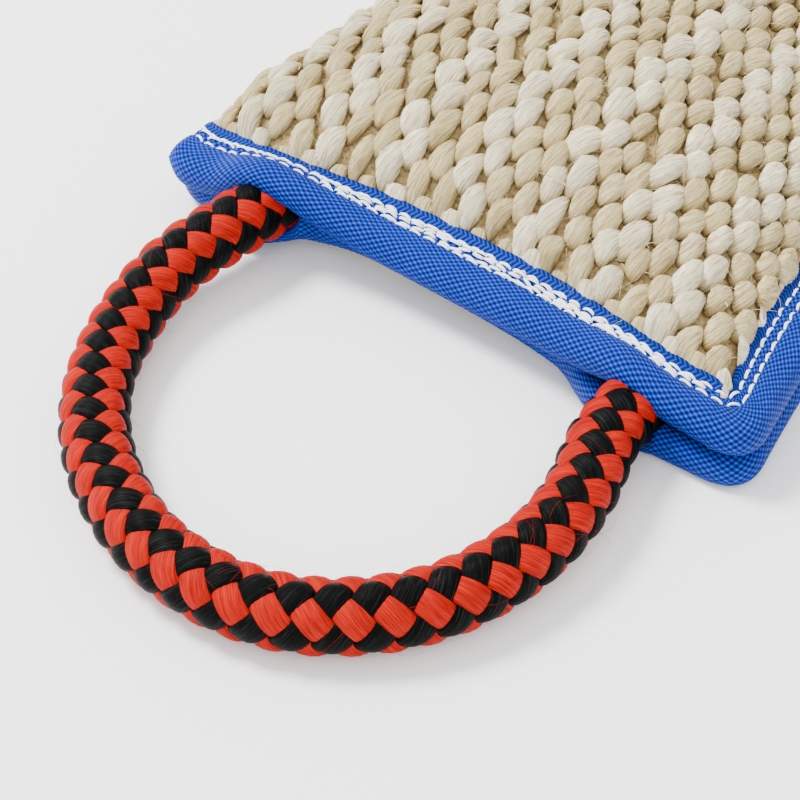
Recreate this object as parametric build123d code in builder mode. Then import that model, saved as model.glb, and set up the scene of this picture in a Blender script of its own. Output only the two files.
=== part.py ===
from build123d import *
from math import pi, radians, sqrt, tan
import os

os.makedirs("parts", exist_ok=True)

# ---------------------------------------------------------------- driving dimensions, mm
pad_length = 300.0        # seam edge to seam edge along X
pad_width = 180.0         # bound side (-Y) to folded side (+Y), at the ends
pull_in = 18.0            # how far the filling draws each long side in at mid length
pad_height = 48.0         # crown above the underside
band = 15.5               # visible width of the edge binding
lip = 7.6                 # thickness of one bound edge
seam_level = 8.1          # height at which the two bound edges meet
lip_gap = 0.4             # air between the two bound edges
tape = 1.7                # one leg of the folded tape
cover_t = 3.4             # jute cloth
fit = 0.1                 # air between layers
liner_t = 1.0             # canvas
felt_t = 4.0              # felt wadding
rope_d = 16.0             # braided handle
rope_core_d = 10.0        # yarn bundle inside the braid
tail_length = 50.0        # rope caught inside the pad
tail_z = 15.0             # rope axis above the underside where it leaves the lips
tail_left_y = 54.7
tail_right_y = -56.4
pivot_gap = 8.5           # swing axis of the loop, ahead of the lips
thread_w = 0.9            # white lockstitch thread
thread_h = 0.5

x_front = -pad_length / 2
x_back = pad_length / 2
y_open = -pad_width / 2
y_fold = pad_width / 2
x_in = x_front + band      # inner edge of the binding, near end
xb_in = x_back - band      # inner edge of the binding, far end
side_r = ((pad_length / 2) ** 2 + pull_in ** 2) / (2 * pull_in)   # arc of each long side

upper_z0 = seam_level + lip_gap / 2
upper_z1 = upper_z0 + lip
lower_z1 = seam_level - lip_gap / 2
lower_z0 = lower_z1 - lip
slot_up = (upper_z0 + tape, upper_z1 - tape)
slot_low = (lower_z0 + tape, lower_z1 - tape)
rope_r = rope_d / 2
mouth_r = rope_r + 0.4     # the lips close round the rope to this radius
hump_r = mouth_r + lip - 0.8

# Route of the handle's centreline from the left swing axis round to the right one.
# The loop lies on the surface the pad rests on, and climbs to the seam near its two ends.
loop_route = [
    (x_front - 8.5, tail_left_y, tail_z),
    (x_front - 27.6, 58.1, 12.0),
    (x_front - 49.9, 53.7, 9.1),
    (x_front - 71.6, 42.6, 8.5),
    (x_front - 90.1, 23.4, 8.5),
    (x_front - 102.2, -4.2, 8.5),
    (x_front - 100.7, -34.3, 8.5),
    (x_front - 81.6, -57.2, 8.5),
    (x_front - 56.2, -66.3, 9.0),
    (x_front - 30.3, -65.4, 11.7),
    (x_front - 8.5, tail_right_y, tail_z),
]


# ---------------------------------------------------------------- shared section curves
end_height = 16.2          # height of the pad where it meets the binding
crown_run = 75.0           # distance from the binding over which the pad reaches full height
stations = [-1.0, -0.86, -0.68, -0.44, 0.0, 0.44, 0.68, 0.86, 1.0]   # shares of the body's half length


def side_y(x):
    """Half width of the pad at x: the long sides are shallow arcs, drawn in at mid length."""
    return pad_width / 2 - pull_in + side_r - sqrt(side_r**2 - x**2)


def crown_z(x):
    """Height of the pad's crown at x."""
    share = min((xb_in - abs(x)) / crown_run, 1.0)
    return end_height + (pad_height - end_height) * (1.0 - (1.0 - share) ** 2.1)


def cross_section(x, inset, sole=0.0):
    """Section across the pad at x: low at the bound side, thickest towards the fold, round at the fold, flat underneath."""
    high = crown_z(x)
    y0, y1 = -side_y(x) + band, side_y(x)
    side_z = 0.42 * high
    foot = 0.5 * high
    shape = [(0.12, 0.40), (0.28, 0.76), (0.48, 0.97), (0.66, 1.0)]
    top = [(y0 + (y1 - y0) * t, end_height + (high - end_height) * k) for t, k in shape]
    top += [(y0 + (y1 - y0) * t, side_z + (high - side_z) * k) for t, k in [(0.84, 0.90), (0.95, 0.58)]]
    chain = [(y0, end_height)] + top + [(y1, side_z)]
    moved = []
    for before, here, after in zip(chain, chain[1:], chain[2:]):
        along = Vector(after[0] - before[0], after[1] - before[1]).normalized()
        moved.append((here[0] + along.Y * inset, here[1] - along.X * inset))
    first = (y0 + inset, end_height - 0.7 * inset)
    last = (y1 - inset, max(side_z, inset + 2.0))
    foot_y = y1 - max(foot, inset + 3.0)
    low = inset - sole
    bend = (last[0] - 0.29 * (last[0] - foot_y), low + 0.29 * (last[1] - low))
    with BuildSketch(Plane.YZ.offset(x)) as section:
        with BuildLine():
            Spline(first, *moved, last)
            ThreePointArc(last, bend, (foot_y, low))
            Line((foot_y, low), (y0 + inset, low))
            Line((y0 + inset, low), first)
        make_face()
    return section.sketch


def crowned_body(inset, sole=0.0):
    """The pad's crowned volume, taken in by inset on every side, with spare depth underneath where sole is given."""
    half = xb_in - fit - inset
    with BuildPart() as body:
        for share in stations:
            add(cross_section(share * half, inset, sole))
        loft()
    return body.part


def band_face(outer, inner):
    """Plan of the binding's run round three sides, between two distances in from the pad's edge."""
    with BuildSketch() as face:
        with BuildLine():
            ThreePointArc((x_front + outer, -side_y(x_front + outer) + outer), (0.0, -side_y(0.0) + outer),
                          (x_back - outer, -side_y(x_back - outer) + outer))
            Line((x_back - outer, -side_y(x_back - outer) + outer), (x_back - outer, y_fold - outer))
            Line((x_back - outer, y_fold - outer), (x_back - inner, y_fold - outer))
            Line((x_back - inner, y_fold - outer), (x_back - inner, -side_y(x_back - inner) + inner))
            ThreePointArc((x_back - inner, -side_y(x_back - inner) + inner), (0.0, -side_y(0.0) + inner),
                          (x_front + inner, -side_y(x_front + inner) + inner))
            Line((x_front + inner, -side_y(x_front + inner) + inner), (x_front + inner, y_fold - outer))
            Line((x_front + inner, y_fold - outer), (x_front + outer, y_fold - outer))
            Line((x_front + outer, y_fold - outer), (x_front + outer, -side_y(x_front + outer) + outer))
        make_face()
    return face.sketch


def rope_channels(radius, x0, x1):
    """Two straight channels along X that hold the handle's tails."""
    with BuildPart() as channels:
        with BuildSketch(Plane.YZ.offset(x0)):
            with Locations((tail_left_y, tail_z), (tail_right_y, tail_z)):
                Circle(radius)
        extrude(amount=x1 - x0)
    return channels.part


def rope_humps(radius, low, x0, x1):
    """Where an upper layer arches over the two tails: round-topped humps, cut off level at low."""
    with BuildPart() as humps:
        with BuildSketch(Plane.YZ.offset(x0)):
            with Locations((tail_left_y, tail_z), (tail_right_y, tail_z)):
                Circle(radius)
            with Locations((0.0, low - 50.0)):
                Rectangle(400.0, 100.0, mode=Mode.SUBTRACT)
        extrude(amount=x1 - x0)
    return humps.part


# ---------------------------------------------------------------- jute cover
# One cloth folded along +Y. Its margins stand out as two flanges that the bindings grip.
with BuildPart() as jute_cover:
    add(crowned_body(0.0, 0.6))
    # the underside is one flat face
    with BuildSketch(Plane.XY):
        Rectangle(400.0, 300.0)
    extrude(amount=-5.0, mode=Mode.SUBTRACT)
    with BuildSketch(Plane.YZ.offset(x_in)):
        with Locations((tail_left_y, tail_z), (tail_right_y, tail_z)):
            Circle(hump_r - tape - fit)
    extrude(amount=14.0)
    add(crowned_body(cover_t), mode=Mode.SUBTRACT)
    # upper flange: arched at the near end, level along the open side and the far end
    add(rope_humps(hump_r - tape - fit, slot_up[0] + fit, x_front + 2.0, x_in + 2.0))
    with BuildSketch(Plane.XY.offset(slot_up[0] + fit)):
        add(band_face(2.0, band + 1.0))
    extrude(amount=slot_up[1] - slot_up[0] - 2 * fit)
    # lower flange
    with BuildSketch(Plane.XY.offset(slot_low[0] + fit)):
        add(band_face(2.0, band + 1.0))
    extrude(amount=slot_low[1] - slot_low[0] - 2 * fit)
    # the mouth between the flanges, left open into the filling and closed only by the fold
    with BuildSketch(Plane.XY.offset(slot_low[1] - fit)):
        add(band_face(band - 4.0, band + 6.0))
    extrude(amount=slot_up[0] - slot_low[1] + 2 * fit, mode=Mode.SUBTRACT)
    add(rope_channels(mouth_r + tape + fit, x_front, x_front + tail_length + 2.0), mode=Mode.SUBTRACT)
jute_cover.part.label = "jute_cover"

# ---------------------------------------------------------------- filling
with BuildPart() as canvas_liner:
    add(crowned_body(cover_t + fit))
    add(crowned_body(cover_t + fit + liner_t), mode=Mode.SUBTRACT)
    add(rope_channels(rope_r + 1.4, x_front, x_front + tail_length + 2.0), mode=Mode.SUBTRACT)
canvas_liner.part.label = "canvas_liner"

core_inset = cover_t + liner_t + 2 * fit
felt_top_of_lower = core_inset + felt_t

with BuildPart() as felt_layer_lower:
    add(crowned_body(core_inset))
    with BuildSketch(Plane.XY.offset(felt_top_of_lower)):
        Rectangle(400.0, 300.0)
    extrude(amount=80.0, mode=Mode.SUBTRACT)
    add(rope_channels(rope_r + 1.4, x_front, x_front + tail_length + 2.0), mode=Mode.SUBTRACT)
    with BuildSketch(Plane.XY.offset(tail_z - rope_r - 1.8)):
        with Locations((x_front + 34.0, 4.0)):
            Rectangle(24.4, 122.4)
    extrude(amount=10.0, mode=Mode.SUBTRACT)
felt_layer_lower.part.label = "felt_layer_lower"

with BuildPart() as foam_core:
    add(crowned_body(core_inset + felt_t + 4 * fit))
    add(rope_channels(rope_r + 1.4, x_front, x_front + tail_length + 2.0), mode=Mode.SUBTRACT)
foam_core.part.label = "foam_core"

with BuildPart() as felt_layer_upper:
    add(crowned_body(core_inset))
    add(crowned_body(core_inset + felt_t), mode=Mode.SUBTRACT)
    with BuildSketch(Plane.XY.offset(felt_top_of_lower + fit)):
        Rectangle(400.0, 300.0)
    extrude(amount=-80.0, mode=Mode.SUBTRACT)
    add(rope_channels(rope_r + 1.4, x_front, x_front + tail_length + 2.0), mode=Mode.SUBTRACT)
# the corner scrap past the right tail is trimmed off
with BuildPart() as felt_trimmed:
    add(felt_layer_upper.part.solids().sort_by(SortBy.VOLUME)[-1])
felt_layer_upper = felt_trimmed
felt_layer_upper.part.label = "felt_layer_upper"

# ---------------------------------------------------------------- edge bindings
# Each is one woven tape folded over the cloth's margin, round three sides.
with BuildPart() as upper_edge_binding:
    with BuildSketch(Plane.XY.offset(upper_z0)):
        add(band_face(0.0, band))
    extrude(amount=lip)
    add(rope_humps(hump_r, upper_z0, x_front, x_in))
    # the slot that grips the cloth
    with BuildSketch(Plane.XY.offset(slot_up[0])):
        add(band_face(tape, band + 1.0))
    extrude(amount=slot_up[1] - slot_up[0], mode=Mode.SUBTRACT)
    add(rope_humps(hump_r - tape, slot_up[0], x_front + tape, x_in + 1.0), mode=Mode.SUBTRACT)
    # the tape's inner leg goes over the rope too
    add(rope_humps(mouth_r + tape, upper_z0, x_front, x_in))
    add(rope_channels(mouth_r, x_front - 1.0, x_in + 1.0), mode=Mode.SUBTRACT)
upper_edge_binding.part.label = "upper_edge_binding"

with BuildPart() as lower_edge_binding:
    with BuildSketch(Plane.XY.offset(lower_z0)):
        add(band_face(0.0, band))
    extrude(amount=lip)
    with BuildSketch(Plane.XY.offset(slot_low[0])):
        add(band_face(tape, band + 1.0))
    extrude(amount=slot_low[1] - slot_low[0], mode=Mode.SUBTRACT)
    add(rope_channels(mouth_r, x_front, x_in), mode=Mode.SUBTRACT)
lower_edge_binding.part.label = "lower_edge_binding"


# ---------------------------------------------------------------- stitching
def thread_on_upper(inset):
    """One run of thread on the upper binding, inset from its inner edge, round three sides."""
    low = upper_z1 + 0.05
    with BuildPart() as thread:
        with BuildSketch(Plane.XY.offset(low)):
            add(band_face(band - inset - thread_w / 2, band - inset + thread_w / 2))
        extrude(amount=thread_h)
        add(rope_humps(hump_r + 0.05 + thread_h, low, x_in - inset - thread_w / 2, x_in - inset + thread_w / 2))
        add(rope_channels(hump_r + 0.05, x_front, x_in), mode=Mode.SUBTRACT)
    return thread.part


def thread_on_lower(inset):
    """The matching run under the lower binding, sunk so that it stays above the underside."""
    with BuildPart() as thread:
        with BuildSketch(Plane.XY.offset(lower_z0 - 0.24)):
            add(band_face(band - inset - thread_w / 2, band - inset + thread_w / 2))
        extrude(amount=0.2)
    return thread.part


with BuildPart() as stitch_row_inner_upper:
    add(thread_on_upper(2.6))
stitch_row_inner_upper.part.label = "stitch_row_inner_upper"

with BuildPart() as stitch_row_outer_upper:
    add(thread_on_upper(5.4))
stitch_row_outer_upper.part.label = "stitch_row_outer_upper"

with BuildPart() as stitch_row_inner_lower:
    add(thread_on_lower(2.6))
stitch_row_inner_lower.part.label = "stitch_row_inner_lower"

with BuildPart() as stitch_row_outer_lower:
    add(thread_on_lower(5.4))
stitch_row_outer_lower.part.label = "stitch_row_outer_lower"

# extra passes sewn over the middle of the near end, between the two legs of the handle
with BuildPart() as reinforcing_stitches:
    with BuildSketch(Plane.XY.offset(upper_z1 + 0.05)):
        with Locations((x_in - 1.2, 2.0), (x_in - 4.0, -1.0), (x_in - 6.9, 1.0)):
            Rectangle(thread_w, 62.0)
    extrude(amount=thread_h)
reinforcing_stitches.part.label = "reinforcing_stitches"

# ---------------------------------------------------------------- rope tails, fixed in the seam
with BuildPart() as rope_tail_left:
    with BuildSketch(Plane.YZ.offset(x_front)):
        with Locations((tail_left_y, tail_z)):
            Circle(rope_r)
    extrude(amount=tail_length)
rope_tail_left.part.label = "rope_tail_left"

with BuildPart() as rope_tail_right:
    with BuildSketch(Plane.YZ.offset(x_front)):
        with Locations((tail_right_y, tail_z)):
            Circle(rope_r)
    extrude(amount=tail_length)
rope_tail_right.part.label = "rope_tail_right"

with BuildPart() as tail_whipping_left:
    with BuildSketch(Plane.YZ.offset(x_front + tail_length - 15.0)):
        with Locations((tail_left_y, tail_z)):
            Circle(rope_r + 0.7)
            Circle(rope_r + 0.05, mode=Mode.SUBTRACT)
    extrude(amount=8.0)
    with BuildSketch(Plane.XY.offset(tail_z - rope_r - 0.1)):
        with Locations((x_front + 34.0, 4.0)):
            Rectangle(24.4, 122.4)
    extrude(amount=-10.0, mode=Mode.SUBTRACT)
tail_whipping_left.part.label = "tail_whipping_left"

with BuildPart() as tail_whipping_right:
    with BuildSketch(Plane.YZ.offset(x_front + tail_length - 15.0)):
        with Locations((tail_right_y, tail_z)):
            Circle(rope_r + 0.7)
            Circle(rope_r + 0.05, mode=Mode.SUBTRACT)
    extrude(amount=8.0)
    with BuildSketch(Plane.XY.offset(tail_z - rope_r - 0.1)):
        with Locations((x_front + 34.0, 4.0)):
            Rectangle(24.4, 122.4)
    extrude(amount=-10.0, mode=Mode.SUBTRACT)
tail_whipping_right.part.label = "tail_whipping_right"

# webbing laid under both tails, which spreads the handle's pull across the seam
with BuildPart() as anchor_strap:
    with BuildSketch(Plane.XY.offset(tail_z - rope_r - 1.7)):
        with Locations((x_front + 34.0, 4.0)):
            Rectangle(24.0, 122.0)
    extrude(amount=1.6)
anchor_strap.part.label = "anchor_strap"

# ---------------------------------------------------------------- rope loop, swings about its two exits
corners = [Vector(*p) for p in loop_route]
radii = []
for before, here, after in zip(corners, corners[1:], corners[2:]):
    turn = (here - before).get_angle(after - here)
    run = min((here - before).length, (after - here).length)
    radii.append(0.45 * run / tan(radians(turn) / 2))
print("loop radii", [round(r, 1) for r in radii])

with BuildLine() as loop_line:
    FilletPolyline(*loop_route, radius=radii)
loop_wire = loop_line.wire()
print("loop length", round(loop_wire.length, 1), "tube volume", round(loop_wire.length * pi * rope_r**2))

with BuildPart() as rope_loop_core:
    with BuildSketch(Plane(origin=loop_route[0], z_dir=corners[1] - corners[0])):
        Circle(rope_core_d / 2)
    sweep(path=loop_wire)
rope_loop_core.part.label = "rope_loop_core"

with BuildPart() as rope_loop_sheath:
    with BuildSketch(Plane(origin=loop_route[0], z_dir=corners[1] - corners[0])):
        Circle(rope_r)
    sweep(path=loop_wire)
    # rounded ends about the swing axis
    with Locations(loop_route[0], loop_route[-1]):
        Sphere(rope_r - 0.02)
    with BuildSketch(Plane(origin=loop_route[0], z_dir=corners[1] - corners[0])):
        Circle(rope_core_d / 2 + 0.05)
    sweep(path=loop_wire, mode=Mode.SUBTRACT)
rope_loop_sheath.part.label = "rope_loop_sheath"

# ---------------------------------------------------------------- export
export_step(jute_cover.part, "parts/jute_cover.step")
export_step(canvas_liner.part, "parts/canvas_liner.step")
export_step(foam_core.part, "parts/foam_core.step")
export_step(felt_layer_upper.part, "parts/felt_layer_upper.step")
export_step(felt_layer_lower.part, "parts/felt_layer_lower.step")
export_step(upper_edge_binding.part, "parts/upper_edge_binding.step")
export_step(lower_edge_binding.part, "parts/lower_edge_binding.step")
export_step(stitch_row_inner_upper.part, "parts/stitch_row_inner_upper.step")
export_step(stitch_row_outer_upper.part, "parts/stitch_row_outer_upper.step")
export_step(stitch_row_inner_lower.part, "parts/stitch_row_inner_lower.step")
export_step(stitch_row_outer_lower.part, "parts/stitch_row_outer_lower.step")
export_step(reinforcing_stitches.part, "parts/reinforcing_stitches.step")
export_step(rope_tail_left.part, "parts/rope_tail_left.step")
export_step(rope_tail_right.part, "parts/rope_tail_right.step")
export_step(tail_whipping_left.part, "parts/tail_whipping_left.step")
export_step(tail_whipping_right.part, "parts/tail_whipping_right.step")
export_step(anchor_strap.part, "parts/anchor_strap.step")
export_step(rope_loop_core.part, "parts/rope_loop_core.step")
export_step(rope_loop_sheath.part, "parts/rope_loop_sheath.step")
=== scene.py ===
import math

import bpy
import numpy as np
from mathutils import Matrix, Vector


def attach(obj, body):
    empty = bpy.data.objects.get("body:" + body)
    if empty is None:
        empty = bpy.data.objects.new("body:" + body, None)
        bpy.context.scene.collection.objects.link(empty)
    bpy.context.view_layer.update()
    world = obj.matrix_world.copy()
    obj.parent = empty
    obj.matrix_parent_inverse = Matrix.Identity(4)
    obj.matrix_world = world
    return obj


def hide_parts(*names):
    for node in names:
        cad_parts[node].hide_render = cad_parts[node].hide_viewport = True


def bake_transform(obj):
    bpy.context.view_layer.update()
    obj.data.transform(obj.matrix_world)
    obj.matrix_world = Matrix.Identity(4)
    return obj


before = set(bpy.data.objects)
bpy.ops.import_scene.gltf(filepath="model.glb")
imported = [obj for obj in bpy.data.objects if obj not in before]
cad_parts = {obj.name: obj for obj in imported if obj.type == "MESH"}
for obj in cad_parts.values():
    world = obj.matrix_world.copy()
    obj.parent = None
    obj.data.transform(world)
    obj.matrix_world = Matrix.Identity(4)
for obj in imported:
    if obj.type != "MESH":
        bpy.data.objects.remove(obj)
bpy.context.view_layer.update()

rng = np.random.default_rng(7)

# ---------------------------------------------------------------- dimensions of the CAD part, mm
L2, W2, PULL, H = 150.0, 90.0, 18.0, 48.0
BAND, LIP, SEAM, ROPE_R = 15.5, 7.6, 8.1, 8.0
X_IN = -L2 + BAND
XB_IN = L2 - BAND
SIDE_R = (L2 ** 2 + PULL ** 2) / (2 * PULL)
TAIL_L, TAIL_R = 54.7, -56.4


def side_y(x):
    return W2 - PULL + SIDE_R - np.sqrt(SIDE_R ** 2 - np.square(x))


def crown_z(x):
    share = np.clip((XB_IN - np.abs(x)) / 75.0, 0.0, 1.0)
    return 16.2 + (H - 16.2) * (1.0 - (1.0 - share) ** 2.1)


def smooth(x, a, b):
    t = np.clip((x - a) / (b - a), 0.0, 1.0)
    return t * t * (3 - 2 * t)


def curve(xs, ys):
    """A smooth 1-D function through points, by monotone-ish cubic interpolation."""
    xs, ys = np.array(xs, float), np.array(ys, float)
    m = np.gradient(ys, xs)

    def f(x):
        x = np.clip(x, xs[0], xs[-1])
        i = np.clip(np.searchsorted(xs, x) - 1, 0, len(xs) - 2)
        h = xs[i + 1] - xs[i]
        t = (x - xs[i]) / h
        return ((2 * t**3 - 3 * t**2 + 1) * ys[i] + (t**3 - 2 * t**2 + t) * h * m[i]
                + (-2 * t**3 + 3 * t**2) * ys[i + 1] + (t**3 - t**2) * h * m[i + 1])
    return f


def cubic_through(points, n):
    """n points on a natural cubic spline through the given 2-D points, even in arc length."""
    p = np.array(points, float)
    s = np.concatenate([[0], np.cumsum(np.linalg.norm(np.diff(p, axis=0), axis=1))])
    h = np.diff(s)
    k = len(p)
    A, B = np.eye(k), np.zeros((k, 2))
    for i in range(1, k - 1):
        A[i, i - 1:i + 2] = h[i - 1], 2 * (h[i - 1] + h[i]), h[i]
        B[i] = 6 * ((p[i + 1] - p[i]) / h[i] - (p[i] - p[i - 1]) / h[i - 1])
    m = np.linalg.solve(A, B)
    q = np.linspace(0, s[-1], n * 4)
    i = np.clip(np.searchsorted(s, q) - 1, 0, k - 2)
    a, b, hh = (s[i + 1] - q)[:, None], (q - s[i])[:, None], h[i][:, None]
    c = (m[i] * a**3 + m[i + 1] * b**3) / (6 * hh) + (p[i] / hh - m[i] * hh / 6) * a + (p[i + 1] / hh - m[i + 1] * hh / 6) * b
    d = np.concatenate([[0], np.cumsum(np.linalg.norm(np.diff(c, axis=0), axis=1))])
    t = np.linspace(0, d[-1], n)
    return np.column_stack([np.interp(t, d, c[:, 0]), np.interp(t, d, c[:, 1])])


# ---------------------------------------------------------------- shape of the near end's two lips, by y
edge_top = curve([-90, -76, -60, -45, -28, 0, 22, 40, 54, 68, 80, 90],
                 [16.4, 17.8, 19.4, 20.2, 20.8, 21.2, 21.4, 22.0, 22.4, 21.6, 20.2, 18.8])
crease = curve([-90, -80, -68, -56, -44, -22, 4, 24, 38, 46, 55, 62, 70, 78, 90],
               [8.8, 9.0, 11.0, 13.6, 12.0, 10.0, 10.0, 11.2, 14.4, 17.2, 18.0, 15.6, 10.6, 8.6, 8.0])
low_edge = curve([-90, -76, -62, -44, -20, 8, 32, 52, 66, 90],
                 [0.45, 0.45, 0.6, 2.0, 4.6, 6.0, 7.0, 4.4, 1.8, 2.6])
bow = curve([-90, -74, -60, -46, -25, 4, 30, 44, 58, 72, 82, 90],
            [0.0, -0.4, -0.8, 0.8, 3.4, 4.4, 3.4, 1.0, -0.6, -0.4, 0.8, 5.4])
rise = curve([-90, -60, 0, 54, 90], [0, 1.0, 2.2, 1.0, 0.0])


def near(x, run):
    """1 at the near end's binding, fading to 0 over run."""
    return np.exp(-np.square(np.clip(x - X_IN, 0, None) / run))


# ---------------------------------------------------------------- mesh helpers
def build(name, co_mm, quads, mat, uv=None, attrs=None, flat=False):
    me = bpy.data.meshes.new(name)
    co = np.asarray(co_mm, np.float32) * 0.001
    quads = np.asarray(quads, np.int32)
    me.vertices.add(len(co))
    me.vertices.foreach_set("co", co.ravel())
    loops = quads.ravel()
    me.loops.add(len(loops))
    me.loops.foreach_set("vertex_index", loops)
    me.polygons.add(len(quads))
    me.polygons.foreach_set("loop_start", np.arange(0, len(loops), 4, dtype=np.int32))
    me.update(calc_edges=True)
    if uv is not None:
        layer = me.uv_layers.new(name="UVMap")
        layer.data.foreach_set("uv", np.asarray(uv, np.float32)[loops].ravel())
    for key, val in (attrs or {}).items():
        a = me.attributes.new(key, "FLOAT", "POINT")
        a.data.foreach_set("value", np.asarray(val, np.float32).ravel())
    me.validate()
    me.polygons.foreach_set("use_smooth", np.full(len(me.polygons), not flat))
    me.materials.append(mat)
    o = bpy.data.objects.new(name, me)
    bpy.context.scene.collection.objects.link(o)
    return o


def grid_quads(nu, nv, closed_v=False, flip=False):
    i, j = np.meshgrid(np.arange(nu - 1), np.arange(nv if closed_v else nv - 1), indexing="ij")
    k = (j + 1) % nv
    q = np.stack([i * nv + j, (i + 1) * nv + j, (i + 1) * nv + k, i * nv + k], -1).reshape(-1, 4)
    return q[:, ::-1] if flip else q


def many(quads, count, each):
    return (quads[None] + (np.arange(count) * each)[:, None, None]).reshape(-1, 4)


def unit(v):
    return v / np.maximum(np.linalg.norm(v, axis=-1, keepdims=True), 1e-12)


# ---------------------------------------------------------------- material helpers
class Nodes:
    def __init__(self, name):
        self.mat = bpy.data.materials.new(name)
        self.mat.use_nodes = True
        self.t = self.mat.node_tree
        self.p = self.t.nodes["Principled BSDF"]

    def new(self, kind, **kw):
        n = self.t.nodes.new(kind)
        for k, v in kw.items():
            if k.startswith("i_"):
                n.inputs[k[2:].replace("_", " ")].default_value = v
            else:
                setattr(n, k, v)
        return n

    def link(self, a, b):
        self.t.links.new(a, b)

    def math(self, op, a, b=None, c=None):
        n = self.new("ShaderNodeMath", operation=op)
        for i, v in enumerate((a, b, c)):
            if v is None:
                continue
            if isinstance(v, (int, float)):
                n.inputs[i].default_value = v
            else:
                self.link(v, n.inputs[i])
        return n.outputs[0]

    def attr(self, name):
        return self.new("ShaderNodeAttribute", attribute_name=name).outputs["Fac"]

    def uv(self):
        s = self.new("ShaderNodeSeparateXYZ")
        self.link(self.new("ShaderNodeUVMap", uv_map="UVMap").outputs[0], s.inputs[0])
        return s.outputs[0], s.outputs[1]

    def vec(self, x, y, z=0.0):
        n = self.new("ShaderNodeCombineXYZ")
        for i, v in enumerate((x, y, z)):
            if isinstance(v, (int, float)):
                n.inputs[i].default_value = v
            else:
                self.link(v, n.inputs[i])
        return n.outputs[0]

    def noise(self, vec, scale, detail=3.0, rough=0.6):
        n = self.new("ShaderNodeTexNoise", i_Scale=scale, i_Detail=detail, i_Roughness=rough)
        self.link(vec, n.inputs["Vector"])
        return n.outputs[0]

    def ramp(self, fac, stops):
        n = self.new("ShaderNodeValToRGB")
        e = n.color_ramp.elements
        while len(e) < len(stops):
            e.new(0.5)
        for el, (pos, col) in zip(e, stops):
            el.position = pos
            el.color = (*col, 1.0)
        self.link(fac, n.inputs[0])
        return n.outputs[0]

    def mix(self, fac, a, b, mode="MIX"):
        n = self.new("ShaderNodeMix", data_type="RGBA", blend_type=mode)
        for sock, v in ((n.inputs[0], fac), (n.inputs[6], a), (n.inputs[7], b)):
            if isinstance(v, (int, float)):
                sock.default_value = v
            elif isinstance(v, tuple):
                sock.default_value = (*v, 1.0)
            else:
                self.link(v, sock)
        return n.outputs[2]

    def bump(self, height, strength, distance, base=None):
        n = self.new("ShaderNodeBump", i_Strength=strength, i_Distance=distance)
        self.link(height, n.inputs["Height"])
        if base is not None:
            self.link(base, n.inputs["Normal"])
        return n.outputs[0]

    def done(self, color=None, normal=None, rough=None, **kw):
        if color is not None:
            self.link(color, self.p.inputs["Base Color"])
        if normal is not None:
            self.link(normal, self.p.inputs["Normal"])
        if rough is not None:
            if isinstance(rough, (int, float)):
                self.p.inputs["Roughness"].default_value = rough
            else:
                self.link(rough, self.p.inputs["Roughness"])
        for k, v in kw.items():
            self.p.inputs[k.replace("_", " ")].default_value = v
        return self.mat


def lin(r, g, b):
    def f(c):
        c /= 255.0
        return c / 12.92 if c <= 0.04045 else ((c + 0.055) / 1.055) ** 2.4
    return (f(r), f(g), f(b))


def jute_material():
    """Grains of loosely spun jute: fine fibre streaks that twist round the yarn, with painted shade down in the gaps.
    """
    n = Nodes("jute_yarn")
    u, v = n.uv()
    rnd, tone, shade_depth = n.attr("rnd"), n.attr("tone"), n.attr("shade_depth")
    twisted = n.math("ADD", v, n.math("MULTIPLY", u, 0.30))
    seed = n.math("MULTIPLY", rnd, 37.0)
    fibres = n.noise(n.vec(n.math("MULTIPLY", u, 0.11), n.math("MULTIPLY", twisted, 1.25), seed), 1.7, 4.0, 0.7)
    clumps = n.noise(n.vec(n.math("MULTIPLY", u, 0.12), n.math("MULTIPLY", twisted, 0.62), seed), 1.0, 2.0, 0.5)
    base = n.mix(tone, lin(214, 198, 152), lin(248, 240, 214))
    base = n.mix(1.0, base, n.ramp(rnd, [(0.0, (0.90, 0.88, 0.83)), (0.5, (1.0, 0.99, 0.97)), (1.0, (1.10, 1.09, 1.06))]), "MULTIPLY")
    base = n.mix(1.0, base, n.ramp(fibres, [(0.34, (0.46, 0.38, 0.25)), (0.46, (0.87, 0.83, 0.72)), (0.62, (1.16, 1.15, 1.11))]), "MULTIPLY")
    base = n.mix(1.0, base, n.ramp(clumps, [(0.30, (0.86, 0.82, 0.74)), (0.55, (1.0, 1.0, 1.0))]), "MULTIPLY")
    # painted shade: the lower a point lies on its grain, the darker brown it is made
    base = n.mix(1.0, base, n.ramp(shade_depth, [(0.0, (0.24, 0.18, 0.09)), (0.34, (0.68, 0.60, 0.44)), (0.70, (1.0, 1.0, 1.0))]), "MULTIPLY")
    nb = n.bump(n.math("ADD", fibres, n.math("MULTIPLY", clumps, 0.8)), 1.0, 0.0016)
    return n.done(base, nb, n.math("SUBTRACT", 0.92, n.math("MULTIPLY", fibres, 0.12)), Sheen_Weight=0.08, Sheen_Roughness=0.5, Specular_IOR_Level=0.2)


def ground_cloth_material():
    """The weft seen between the warp grains: its darker brown colour is painted shade."""
    n = Nodes("jute_ground")
    c = n.new("ShaderNodeTexCoord").outputs["Object"]
    a = n.noise(c, 900.0, 3.0)
    # dark brown: painted shade between the grains, laid over the weft's own tan
    col = n.ramp(a, [(0.3, lin(112, 90, 52)), (0.7, lin(184, 160, 108))])
    return n.done(col, n.bump(a, 0.8, 0.0006), 0.95)


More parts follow.
